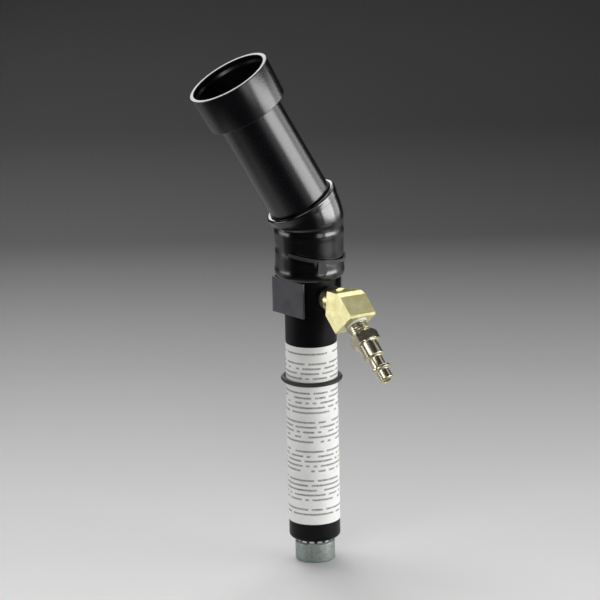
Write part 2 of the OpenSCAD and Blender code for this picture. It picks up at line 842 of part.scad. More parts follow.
// Quick-connect plug: thread, hexagon, barrel, locking groove, rib and tip
module quick_plug() {
    hex_r = hex_af / 2 / cos(30);
    thread_at = plug_end_gap - plug_port_l;
    color(plated_steel)
        along_plug()
            difference() {
                union() {
                    intersection() {
                        translate([0, 0, hex_at])
                            rotate([0, 0, hex_turn])
                                cylinder(r = hex_r, h = hex_l, $fn = 6);
                        translate([0, 0, hex_at])
                            rotate_extrude()
                                polygon([
                                    [0, 0],
                                    [hex_af / 2, 0],
                                    [hex_r, hex_chamfer],
                                    [hex_r, hex_l - hex_chamfer],
                                    [hex_af / 2, hex_l],
                                    [0, hex_l]
                                ]);
                    }
                    rotate_extrude()
                        polygon([
                            [0, thread_at],
                            [plug_thread_d / 2, thread_at],
                            [plug_thread_d / 2, hex_at + lap],
                            [barrel_d / 2, hex_at + lap],
                            [barrel_d / 2, groove_at - groove_slope_l],
                            [groove_d / 2, groove_at + groove_slope_l],
                            [groove_d / 2, rib_at - groove_slope_l],
                            [rib_d / 2, rib_at],
                            [rib_d / 2, tip_at - groove_slope_l],
                            [tip_d / 2, tip_at],
                            [tip_d / 2, plug_end - tip_chamfer],
                            [tip_d / 2 - tip_chamfer, plug_end],
                            [0, plug_end]
                        ]);
                }
                translate([0, 0, -plug_port_l])
                    cylinder(d = plug_bore_d, h = plug_port_l + plug_end + cut_past);
            }
}

// Children drawn along +Z are turned to lean with the outlet, from the corner of its axis
module along_outlet() {
    translate([0, 0, corner_z])
        rotate([0, 0, lean_dir])
            rotate([0, bend_angle, 0])
                children();
}

// Round bar swept through the bend
module bend(r) {
    rotate([0, 0, lean_dir])
        translate([bend_path_r, 0, bend_z])
            rotate([90, 0, 180])
                rotate_extrude(angle = bend_angle)
                    translate([bend_path_r, 0])
                        circle(r = r);
}

// Moulded outlet elbow: cuff over the journal, bend, socket with its rim
module outlet_elbow() {
    shoulder_z = journal_top + shoulder_gap;
    color(moulded_black)
        difference() {
            union() {
                translate([0, 0, cuff_z])
                    cylinder(r = cuff_r, h = cuff_h + lap);
                bend(bend_r);
                along_outlet()
                    translate([0, 0, bend_tangent - lap])
                        cylinder(r1 = rim_r - band_taper, r2 = rim_r, h = socket_band_h + lap);
            }
            translate([0, 0, cuff_z - cut_past])
                cylinder(r = cuff_bore_r, h = shoulder_z - cuff_z + cut_past);
            translate([0, 0, shoulder_z - cut_past])
                cylinder(d = shoulder_bore_d, h = bend_z - shoulder_z + cut_past + lap);
            bend(bend_bore_d / 2);
            along_outlet()
                translate([0, 0, bend_tangent - lap])
                    cylinder(d = shoulder_bore_d, h = 2 * lap);
            along_outlet()
                translate([0, 0, bend_tangent])
                    cylinder(r = socket_bore_r, h = socket_band_h + cut_past);
        }
}

// Outlet tube: straight run, stepped collar and flared mouth, moulded in one
module outlet_tube() {
    tube_r = tube_d / 2;
    root_r = collar_root_d / 2;
    mouth_r = root_r + collar_flare;
    color(moulded_black)
        along_outlet()
            rotate_extrude()
                polygon([
                    [tube_r - tube_wall, bend_tangent + seat_fit],
                    [tube_r, bend_tangent + seat_fit],
                    [tube_r, collar_at],
                    [root_r - collar_edge, collar_at],
                    [root_r, collar_at + collar_edge],
                    [mouth_r, mouth_at - collar_edge],
                    [mouth_r - collar_edge, mouth_at],
                    [collar_bore_r + lip_w, mouth_at],
                    [collar_bore_r + lip_w, mouth_at - lip_depth],
                    [collar_bore_r, mouth_at - lip_depth - collar_edge],
                    [collar_bore_r, collar_at + collar_floor],
                    [tube_r - tube_wall, collar_at + collar_floor]
                ]);
}

// Spring clip round the cuff, sitting askew, with its pull tab
module cuff_clip() {
    inner_r = (cuff_r + clip_w / 2 * sin(clip_tilt)) / cos(clip_tilt) + running_fit;
    mid_z = cuff_z + clip_rise;
    drop = (inner_r + clip_t / 2) * tan(clip_tilt) * cos(tab_dir - clip_high_dir);
    color(moulded_black) {
        translate([0, 0, mid_z])
            rotate([0, 0, clip_high_dir])
                rotate([0, -clip_tilt, 0])
                    rotate([0, 0, clip_start - clip_high_dir])
                        rotate_extrude(angle = clip_arc)
                            translate([inner_r, -clip_w / 2])
                                square([clip_t, clip_w]);
        rotate([0, 0, tab_dir])
            translate([inner_r, 0, mid_z + drop])
                rotate([90, 0, 90])
                    linear_extrude(height = clip_t)
                        polygon([
                            [-tab_top_w / 2, 0], [tab_top_w / 2, 0],
                            [tab_w / 2, -tab_l - clip_w / 2], [-tab_w / 2, -tab_l - clip_w / 2]
                        ]);
    }
}

knob();
valve_stem();
stem_seal();
end_cap();
valve_body();
jacket();
label();
loose_ring();
hot_tube();
muffler_sleeve();
vortex_head();
generator();
generator_seal();
cold_cap();
cap_seal();
cuff_seal();
belt_bracket();
bracket_screws();
inlet_elbow();
thread_tape();
quick_plug();
outlet_elbow();
outlet_tube();
cuff_clip();
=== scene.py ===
import bmesh
import bpy
import math
from mathutils import Matrix, Vector


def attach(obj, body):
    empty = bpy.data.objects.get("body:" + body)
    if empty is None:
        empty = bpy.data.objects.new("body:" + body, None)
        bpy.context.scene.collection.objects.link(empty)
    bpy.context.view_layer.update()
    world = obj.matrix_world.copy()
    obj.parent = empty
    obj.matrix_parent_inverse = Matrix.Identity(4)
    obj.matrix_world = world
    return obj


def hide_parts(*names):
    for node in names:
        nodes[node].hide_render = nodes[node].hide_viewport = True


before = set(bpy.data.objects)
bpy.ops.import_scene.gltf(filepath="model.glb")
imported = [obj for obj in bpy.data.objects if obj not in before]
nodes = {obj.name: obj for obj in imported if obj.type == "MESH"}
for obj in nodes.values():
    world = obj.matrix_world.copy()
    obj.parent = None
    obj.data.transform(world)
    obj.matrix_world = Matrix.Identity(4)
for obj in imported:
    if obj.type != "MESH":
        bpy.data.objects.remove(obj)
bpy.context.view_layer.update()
scene = bpy.context.scene
mm = 0.001
print("frame loaded:", len(nodes), "nodes")


# camera on the photograph's line of sight: long lens, slight roll
shot = {"azimuth": -44.0, "elevation": 17.0, "roll": 1.2, "away": 4.0, "pixelsPerMm": 1.624,
        "aimHeight": 0.1675, "aimRight": -0.0063, "framePixels": 600, "sensorMm": 36, "seesTo": 60}


def setCamera(s):
    az, el, roll = (math.radians(s[key]) for key in ("azimuth", "elevation", "roll"))
    back = Vector((math.sin(az) * math.cos(el), -math.cos(az) * math.cos(el), math.sin(el)))
    right = Vector((math.cos(az), math.sin(az), 0))
    up = back.cross(right)
    across = right * math.cos(roll) - up * math.sin(roll)
    upward = right * math.sin(roll) + up * math.cos(roll)
    data = bpy.data.cameras.new("shotCamera")
    data.sensor_width = s["sensorMm"]
    data.lens = s["sensorMm"] * s["pixelsPerMm"] * s["away"] / mm / s["framePixels"]
    data.clip_end = s["seesTo"]
    cam = bpy.data.objects.new("shotCamera", data)
    cam.matrix_world = Matrix((across, upward, back)).transposed().to_4x4()
    cam.location = Vector((0, 0, s["aimHeight"])) + right * s["aimRight"] + back * s["away"]
    scene.collection.objects.link(cam)
    scene.camera = cam


setCamera(shot)
scene.view_settings.view_transform = "Standard"
print("camera set")


def linear(code):  # sRGB hex to linear RGBA
    parts = [int(code[i:i + 2], 16) / 255 for i in (1, 3, 5)]
    return [p / 12.92 if p <= 0.04045 else ((p + 0.055) / 1.055) ** 2.4 for p in parts] + [1.0]


def addNode(tree, kind, ins=None, **settings):  # a node with its settings; sockets among ins are linked
    node = tree.nodes.new(kind)
    for key, value in settings.items():
        setattr(node, key, value)
    for key, value in (ins or {}).items():
        socket = node.inputs[key]
        if isinstance(value, bpy.types.NodeSocket):
            tree.links.new(value, socket)
        else:
            socket.default_value = value
    return node


# how fine each noise is, and the part of its reach that is spread over a look's two colours or roughnesses
noise = {"patchDetail": 3.0, "patchSpan": (0.32, 0.68), "grainDetail": 2.0, "grainSpan": (0.3, 0.7),
         "waveDetail": 1.0}
plainLook = {"stretch": (1, 1, 1), "turn": (0, 0, 0), "strength": 0.6}  # what a look has unless it says more


def surface(name, settings):  # colour in patches, gloss and relief in grain, slow waves under it; sizes in mm
    look = {**plainLook, **settings}
    mat = bpy.data.materials.new(name)
    mat.use_nodes = True
    tree = mat.node_tree
    shader = tree.nodes["Principled BSDF"]
    for key, value in look["sockets"].items():
        shader.inputs[key].default_value = value
    coords = addNode(tree, "ShaderNodeTexCoord").outputs["Object"]
    patch = addNode(tree, "ShaderNodeTexNoise", {
        "Vector": coords, "Scale": 1 / (look["patch"] * mm), "Detail": noise["patchDetail"]}).outputs[0]
    low, high = noise["patchSpan"]
    share = addNode(tree, "ShaderNodeMapRange", {
        "Value": patch, "From Min": low, "From Max": high}).outputs[0]
    color = addNode(tree, "ShaderNodeMix", {
        0: share, 6: linear(look["dark"]), 7: linear(look["pale"])}, data_type="RGBA").outputs[2]
    tree.links.new(color, shader.inputs["Base Color"])
    drawn = addNode(tree, "ShaderNodeMapping", {
        "Vector": coords, "Scale": look["stretch"],
        "Rotation": [math.radians(a) for a in look["turn"]]}).outputs[0]
    grain = addNode(tree, "ShaderNodeTexNoise", {
        "Vector": drawn, "Scale": 1 / (look["grain"] * mm), "Detail": noise["grainDetail"]}).outputs[0]
    low, high = noise["grainSpan"]
    smooth, rough = look["rough"]
    gloss = addNode(tree, "ShaderNodeMapRange", {
        "Value": grain, "From Min": low, "From Max": high, "To Min": smooth, "To Max": rough}).outputs[0]
    tree.links.new(gloss, shader.inputs["Roughness"])
    bump = addNode(tree, "ShaderNodeBump", {
        "Height": grain, "Distance": look["depth"] * mm, "Strength": look["strength"]})
    tree.links.new(bump.outputs[0], shader.inputs["Normal"])
    if "wave" in look:
        wave = addNode(tree, "ShaderNodeTexNoise", {
            "Vector": coords, "Scale": 1 / (look["wave"] * mm), "Detail": noise["waveDetail"]}).outputs[0]
        slow = addNode(tree, "ShaderNodeBump", {
            "Height": wave, "Distance": look["waveDepth"] * mm, "Strength": 1.0}).outputs[0]
        tree.links.new(slow, bump.inputs["Normal"])
    return mat


# ABS, injection moulded: deep black, soft gloss, orange peel drawn coarser than in life so that it shows,
# slow waves that bend the reflections
absLook = {"dark": "#030306", "pale": "#07060b", "patch": 9, "grain": 0.7, "depth": 0.003,
           "rough": (0.22, 0.28), "wave": 30, "waveDepth": 0.05,
           "sockets": {"IOR": 1.53, "Specular IOR Level": 0.5}}
absTube = surface("absMouldedTube", absLook)

# PVC, dip moulded: soft cuff and bend, as black as the tube and glossier, with lazy hollows
cuffLook = {"dark": "#020203", "pale": "#060607", "patch": 7, "grain": 0.8, "depth": 0.002,
            "rough": (0.15, 0.22), "wave": 16, "waveDepth": 0.06,
            "sockets": {"IOR": 1.52, "Specular IOR Level": 0.7}}
pvcElbow = surface("pvcMouldedElbow", cuffLook)

# nylon, injection moulded: dark grey with a silky shine, duller than the cuff
clipLook = {"dark": "#2c2c30", "pale": "#3d3d42", "patch": 5, "grain": 0.5, "depth": 0.01,
            "rough": (0.26, 0.36), "wave": 9, "waveDepth": 0.05,
            "sockets": {"IOR": 1.53, "Specular IOR Level": 0.8}}
nylonClip = surface("nylonMouldedClip", clipLook)

# aluminium, turned and black anodised: violet-black dye, satin, level turning lines drawn coarser than the
# 0.1 mm pitch of the tool so that they show
anodLook = {"dark": "#040304", "pale": "#09070b", "patch": 6, "grain": 0.35, "stretch": (0.02, 0.02, 1),
            "depth": 0.004, "rough": (0.3, 0.42), "sockets": {"IOR": 1.6, "Specular IOR Level": 0.12}}
anodised = surface("aluminiumBlackAnodised", anodLook)

# steel sheet, folded and powder coated: matt dark grey with a fine pebble
sheetLook = {"dark": "#34343a", "pale": "#46464d", "patch": 7, "grain": 0.6, "depth": 0.02,
             "rough": (0.46, 0.58), "sockets": {"IOR": 1.5}}
sheetBlack = surface("steelPowderCoated", sheetLook)

# brass, extruded bar sawn to length: pale yellow, streaks along the bar, cloudy handling marks
brassLook = {"dark": "#d4cb90", "pale": "#e6dfb0", "patch": 5, "grain": 0.45, "stretch": (0.03, 1, 1),
             "turn": (0, 6, 0), "depth": 0.004, "strength": 0.4, "rough": (0.26, 0.4),
             "sockets": {"Metallic": 1.0}}
brass = surface("brassExtrudedBar", brassLook)

# steel, turned, zinc plated and clear passivated: bright with a yellow bloom in patches
plugLook = {"dark": "#c4c1b2", "pale": "#dcd3ae", "patch": 3, "grain": 0.4, "depth": 0.005, "strength": 0.5,
            "rough": (0.2, 0.3), "sockets": {"Metallic": 1.0}}
plugSteel = surface("steelZincPlated", plugLook)

# steel, turned and dull zinc plated: grey-green, satin, hazy
knobLook = {"dark": "#7f8a86", "pale": "#98a29d", "patch": 2, "grain": 0.3, "stretch": (0.05, 0.05, 1),
            "depth": 0.006, "strength": 0.4, "rough": (0.38, 0.52), "wave": 3, "waveDepth": 0.02,
            "sockets": {"Metallic": 0.85}}
knobSteel = surface("steelDullZinc", knobLook)

# the same steel, bare where the exhaust slots are milled and drawn far paler than the knob: partly a painted
# glint, so the lands shine in the dark gap
landPaintedGlintLook = {"dark": "#c6c9c7", "pale": "#dcdfdc", "patch": 1.5, "grain": 0.3, "depth": 0.004, "strength": 0.4,
            "rough": (0.2, 0.3), "sockets": {"Metallic": 1.0}}
landPaintedGlintSteel = surface("steelBareWithPaintedGlint", landPaintedGlintLook)

# nitrile rubber, moulded: matt black with a dusty bloom
rubberLook = {"dark": "#0c0c0d", "pale": "#1b1b1c", "patch": 2.5, "grain": 0.5, "depth": 0.01,
              "rough": (0.45, 0.65), "sockets": {"IOR": 1.5}}
rubber = surface("nitrileMoulded", rubberLook)

# PTFE, skived tape wound in the thread: soft white, slightly translucent, crumpled
tapeLook = {"dark": "#dcdcd6", "pale": "#f0f0ed", "patch": 1.2, "grain": 0.5, "depth": 0.05, "strength": 0.7,
            "rough": (0.45, 0.6),
            "sockets": {"IOR": 1.38, "Subsurface Weight": 0.1, "Subsurface Scale": 0.001}}
tapeWhite = surface("ptfeTapeWound", tapeLook)

# aluminium, brass and oxide-blacked steel, turned: level turning lines; for the inner pieces and the screws
alloyLook = {"dark": "#b4b4b6", "pale": "#c6c6c8", "patch": 4, "grain": 0.4, "stretch": (0.03, 0.03, 1),
             "depth": 0.006, "rough": (0.24, 0.38), "sockets": {"Metallic": 1.0}}
alloy = surface("aluminiumTurned", alloyLook)
valveBrass = surface("brassTurned", {**alloyLook, "dark": "#c8b878", "pale": "#ded298"})
nozzleBrass = surface("brassMachined", {**alloyLook, "dark": "#a8946a", "pale": "#c0ae82",
                                        "rough": (0.28, 0.42)})
screwSteel = surface("steelBlackOxide", {**alloyLook, "dark": "#17171a", "pale": "#26262a",
                                         "rough": (0.3, 0.44)})

# wool felt, pressed: grey-brown and fibrous, no shine
feltLook = {"dark": "#7c766d", "pale": "#a09a90", "patch": 1.5, "grain": 0.7, "depth": 0.25, "strength": 0.8,
            "rough": (0.9, 1.0), "sockets": {"Sheen Weight": 0.3}}
felt = surface("woolFeltPressed", feltLook)


# polyester film, printed and stuck on: soft white with blocks of plain grey dashes
filmLook = {"dark": "#e2e2df", "pale": "#eeeeec", "patch": 11, "grain": 6, "depth": 0.03, "strength": 0.5,
            "rough": (0.38, 0.48), "sockets": {"IOR": 1.5}}
labelPrint = {"ink": "#36363a", "rowMm": 3.15, "inkShare": 0.19, "rowsInBlock": 6, "rowShift": 0.37,
              "dashMm": 2.3, "gapShare": 0.18, "speckMm": 0.55, "speckSpan": (0.4, 0.6),
              "weight": (0.35, 0.9), "radiusMm": 15.9, "halfWidthMm": 43, "fromMm": 31.6, "toMm": 139.6}


def printedFilm(look, p):
    mat = surface("polyesterFilmPrinted", look)
    tree = mat.node_tree
    base = tree.nodes["Principled BSDF"].inputs["Base Color"]
    coords = addNode(tree, "ShaderNodeTexCoord").outputs["Object"]
    found = dict(zip("xyz", addNode(tree, "ShaderNodeSeparateXYZ", {0: coords}).outputs))
    steps = (  # what is found, how, and from what
        ("front", "MULTIPLY", "y", -1), ("angle", "ARCTAN2", "x", "front"),
        ("around", "MULTIPLY", "angle", p["radiusMm"]), ("reach", "ABSOLUTE", "around"),
        ("side", "LESS_THAN", "reach", p["halfWidthMm"]),
        ("above", "GREATER_THAN", "z", p["fromMm"] * mm), ("below", "LESS_THAN", "z", p["toMm"] * mm),
        ("height", "DIVIDE", "z", p["rowMm"] * mm), ("row", "FLOOR", "height"),
        ("rowPart", "FRACT", "height"), ("line", "COMPARE", "rowPart", 0.5, p["inkShare"]),
        ("blockRow", "MODULO", "row", p["rowsInBlock"]), ("filled", "GREATER_THAN", "blockRow", 0.5),
        ("dashAt", "DIVIDE", "around", p["dashMm"]),
        ("shifted", "MULTIPLY_ADD", "row", p["rowShift"], "dashAt"), ("slot", "FLOOR", "shifted"))
    for key, operation, *values in steps:
        ins = {i: found.get(value, value) for i, value in enumerate(values)}
        found[key] = addNode(tree, "ShaderNodeMath", ins, operation=operation).outputs[0]
    cell = addNode(tree, "ShaderNodeCombineXYZ", {0: found["slot"], 1: found["row"]}).outputs[0]
    chance = addNode(tree, "ShaderNodeTexWhiteNoise", {"Vector": cell}).outputs[0]
    found["dash"] = addNode(tree, "ShaderNodeMath", {0: chance, 1: p["gapShare"]},
                            operation="GREATER_THAN").outputs[0]
    speck = addNode(tree, "ShaderNodeTexNoise", {
        "Vector": coords, "Scale": 1 / (p["speckMm"] * mm), "Detail": 1.0}).outputs[0]
    low, high = p["speckSpan"]
    faint, full = p["weight"]
    found["weight"] = addNode(tree, "ShaderNodeMapRange", {
        "Value": speck, "From Min": low, "From Max": high, "To Min": faint, "To Max": full}).outputs[0]
    share = found["line"]
    for key in ("filled", "side", "above", "below", "dash", "weight"):
        share = addNode(tree, "ShaderNodeMath", {0: share, 1: found[key]}, operation="MULTIPLY").outputs[0]
    inked = addNode(tree, "ShaderNodeMix", {
        0: share, 6: base.links[0].from_socket, 7: linear(p["ink"])}, data_type="RGBA").outputs[2]
    tree.links.new(inked, base)
    return mat


labelFilm = printedFilm(filmLook, labelPrint)
print("materials made")


# axes of the slanting pieces, as in the part: outlet, inlet elbow, plug
lean = {"angle": 28.0, "toward": 147.0, "bendZ": 216.4, "pathR": 22.82}
lean["tangent"] = lean["pathR"] * math.tan(math.radians(lean["angle"] / 2))
lean["cornerZ"] = lean["bendZ"] + lean["tangent"]
inlet = {"z": 171.6, "turn": 6.0, "cornerOut": 30.075, "slant": 45.0, "slantL": 15.3}


def along(reach, turn=0.0, about="Z"):  # a step up the axis, then a turn in degrees
    return Matrix.Translation((0, 0, reach)) @ Matrix.Rotation(math.radians(turn), 4, about)


upright = Matrix.Identity(4)
outletAxis = along(lean["cornerZ"], lean["toward"]) @ along(0, lean["angle"], "Y")
inletAxis = along(inlet["z"], 90, "X") @ along(0, -inlet["turn"])
plugAxis = inletAxis @ along(inlet["cornerOut"], inlet["slant"], "X") @ along(inlet["slantL"])


# corners: points on an arc, half angles outside which a corner stays sharp, most of an edge that an arc takes
arcs = {"steps": 5, "folded": 0.02, "straight": 1.55, "most": 0.45}
weldMm = 1e-4
sharpFrom = 32  # degrees; flatter edges shade smooth


def rounded(corners, steps=arcs["steps"]):  # closed outline whose corners (x, y, radius) become arcs
    out = []
    for i, (x, y, r) in enumerate(corners):
        here = Vector((x, y))
        before = Vector(corners[i - 1][:2]) - here
        after = Vector(corners[(i + 1) % len(corners)][:2]) - here
        half = before.angle(after) / 2
        if r <= 0 or not arcs["folded"] <= half <= arcs["straight"]:
            out.append(here)
            continue
        reach = min(r / math.tan(half), arcs["most"] * before.length, arcs["most"] * after.length)
        start = here + before.normalized() * reach
        end = here + after.normalized() * reach
        for k in range(steps + 1):  # quadratic arc, close to round for small corners
            t = k / steps
            out.append(start * (1 - t) ** 2 + here * 2 * t * (1 - t) + end * t ** 2)
    return out


def hexagonAt(flat, a):  # from the axis to the side of a hexagon, at angle a
    return flat / math.cos((a % (math.pi / 3)) - math.pi / 6)


def dress(obj, mat, body, slot, *replaced):
    if mat:
        obj.data.materials.clear()
        obj.data.materials.append(mat)
    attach(obj, body)
    if replaced:
        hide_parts(*replaced)


def settle(obj, axis, sharp=sharpFrom):  # closes poles, turns faces outward, sets the place into the mesh
    bm = bmesh.new()
    bm.from_mesh(obj.data)
    bmesh.ops.remove_doubles(bm, verts=bm.verts, dist=weldMm)
    bmesh.ops.recalc_face_normals(bm, faces=bm.faces)
    bmesh.ops.transform(bm, matrix=Matrix.Scale(mm, 4) @ axis, verts=bm.verts)
    for face in bm.faces:
        face.smooth = True
    bm.to_mesh(obj.data)
    bm.free()
    obj.data.set_sharp_from_angle(angle=math.radians(sharp))
    return obj


def flatten(obj):  # modifiers into a plain mesh
    mesh = bpy.data.meshes.new_from_object(obj.evaluated_get(bpy.context.evaluated_depsgraph_get()))
    mesh.name = obj.name
    obj.modifiers.clear()
    obj.data = mesh
    return obj


def bake(name, tree, values, base=None):  # a Geometry Nodes result as a plain mesh
    obj = bpy.data.objects.new(name, base or bpy.data.meshes.new(name))
    scene.collection.objects.link(obj)
    mod = obj.modifiers.new("shape", "NODES")
    mod.node_group = tree
    for item in tree.interface.items_tree:
        if item.item_type == "SOCKET" and item.in_out == "INPUT" and item.name in values:
            mod[item.identifier] = values[item.name]
    return flatten(obj)


def startTree(name, *sockets):  # a Geometry Nodes tree with named inputs
    tree = bpy.data.node_groups.new(name, "GeometryNodeTree")
    for label, kind, value in sockets:
        socket = tree.interface.new_socket(label, in_out="INPUT", socket_type=kind)
        if value is not None:
            socket.default_value = value
    tree.interface.new_socket("Geometry", in_out="OUTPUT", socket_type="NodeSocketGeometry")
    return tree, addNode(tree, "NodeGroupInput").outputs


def endTree(tree, geometry, mat):
    real = addNode(tree, "GeometryNodeRealizeInstances", {0: geometry}).outputs[0]
    done = addNode(tree, "GeometryNodeSetMaterial", {"Geometry": real, "Material": mat}).outputs[0]
    addNode(tree, "NodeGroupOutput", {0: done})
    return tree


# lathe: an outline carried round the axis
turning = {"segments": 128, "pathR": 1.0}


def latheTree(t):
    tree, ins = startTree("latheTurned", ("Outline", "NodeSocketGeometry", None),
                          ("Segments", "NodeSocketInt", t["segments"]),
                          ("Path Radius", "NodeSocketFloat", t["pathR"]),
                          ("Material", "NodeSocketMaterial", None))
    outline = addNode(tree, "GeometryNodeMeshToCurve", {0: ins["Outline"]}).outputs[0]
    circle = addNode(tree, "GeometryNodeCurvePrimitiveCircle", {
        "Resolution": ins["Segments"], "Radius": ins["Path Radius"]}).outputs[0]
    skin = addNode(tree, "GeometryNodeCurveToMesh", {"Curve": circle, "Profile Curve": outline}).outputs[0]
    return endTree(tree, skin, ins["Material"])


lathe = latheTree(turning)


def turned(name, corners, axis, mat, segments=turning["segments"]):  # corners are radius, height, rounding
    points = rounded(corners)
    count, pathR = len(points), turning["pathR"]
    edges = [(i, (i + 1) % count) for i in range(count)]
    base = bpy.data.meshes.new(name + "Outline")
    base.from_pydata([(p.x - pathR, -p.y, 0) for p in points], edges, [])
    obj = bake(name, lathe, {"Segments": segments, "Path Radius": pathR, "Material": mat}, base)
    return settle(obj, axis)


def ringed(name, rings, axis=upright, sharp=sharpFrom):  # skin over rings, the last joined to the first
    count, size = len(rings), len(rings[0])
    faces = []
    for a in range(count):
        here, there = a * size, (a + 1) % count * size
        for k in range(size):
            beside = (k + 1) % size
            faces.append((here + k, here + beside, there + beside, there + k))
    mesh = bpy.data.meshes.new(name)
    mesh.from_pydata([point for ring in rings for point in ring], [], faces)
    obj = bpy.data.objects.new(name, mesh)
    scene.collection.objects.link(obj)
    return settle(obj, axis, sharp)


# outlet tube: plain run, stepped collar, lip in the mouth
tube = {"segments": 160, "radius": 20.0, "bore": 17.8, "from": 5.71, "collarAt": 77.99, "floor": 80.99,
        "mouthAt": 102.6, "rootR": 25.4, "mouthR": 26.62, "collarBore": 23.5, "lipBore": 24.1, "lipAt": 99.49,
        "lipRun": 1.8, "fine": 0.2, "small": 0.3, "edge": 0.5, "inner": 0.6, "deep": 1.2}
outletTube = turned("outletTube", [
    (tube["bore"], tube["from"], tube["fine"]), (tube["radius"], tube["from"], tube["small"]),
    (tube["radius"], tube["collarAt"], tube["edge"]), (tube["rootR"], tube["collarAt"], tube["edge"]),
    (tube["mouthR"], tube["mouthAt"], tube["edge"]), (tube["lipBore"], tube["mouthAt"], tube["small"]),
    (tube["lipBore"], tube["lipAt"], tube["fine"]),
    (tube["collarBore"], tube["lipAt"] - tube["lipRun"], tube["inner"]),
    (tube["collarBore"], tube["floor"], tube["deep"]), (tube["bore"], tube["floor"], tube["inner"])],
    outletAxis, absTube, tube["segments"])
dress(outletTube, None, "outlet", "moulded_black", "outlet_tube")
print("outlet tube turned")


# outlet elbow: soft cuff pinched by its clip, bend, socket with its rim; a parting ridge runs along both
# limbs and ends in a nub on the rim
elbow = {"segments": 192, "cuffZ": 184.8, "cuffR": 21.2, "cuffBore": 18.325, "bendR": 21.92, "bendBore": 17.5,
         "throat": 16.5, "throatDrop": 0.1, "shoulderZ": 212.3, "socketBore": 20.02,
         "bandR": 22.82, "bandAt": (7.2, 8.8), "bandEase": ((0.02, 0.2), (0.2, 0)),  # past the bend, in
         "rimR": 23.22, "rimAt": 10.89, "lip": 1.2, "lipStep": 15,
         "ridge": 0.08, "ridgeTo": 90, "nub": 0.2, "nubTo": 60,  # how far round the lip each goes, in degrees
         "waistZ": 199.4, "waist": 0.35, "waistSpread": 3.0, "tilt": 11.0, "tiltToward": 136.0,
         "swell": 0.42, "topBead": (4.0, 2.6), "lowBead": (3.0, 2.4),  # distance from its end, spread
         "ripple": 0.13, "rippleSpread": 5.0, "rippleGap": 2.0,
         "folds": ((5, 0.9, 1.0), (9, 2.1, 0.7), (14, 0.3, 0.5)),  # times round, start, share
         "mouthEase": ((0, 0.55), (0.08, 0.25), (0.3, 0.06)),  # above the mouth, in from the cuff
         "boreEase": ((0.5, 0), (0.1, 0.15), (0, 0.5)),  # above the mouth, out from the bore
         "cuffRings": 48, "cuffEnd": 0.5, "bendRings": 24, "bendFrom": 0.01, "bendSpan": 0.97, "runOut": 0.3,
         "boreRings": 10}


def hill(offset, spread):  # 1 at its middle, fading out over the spread
    return math.exp(-(offset / spread) ** 2)


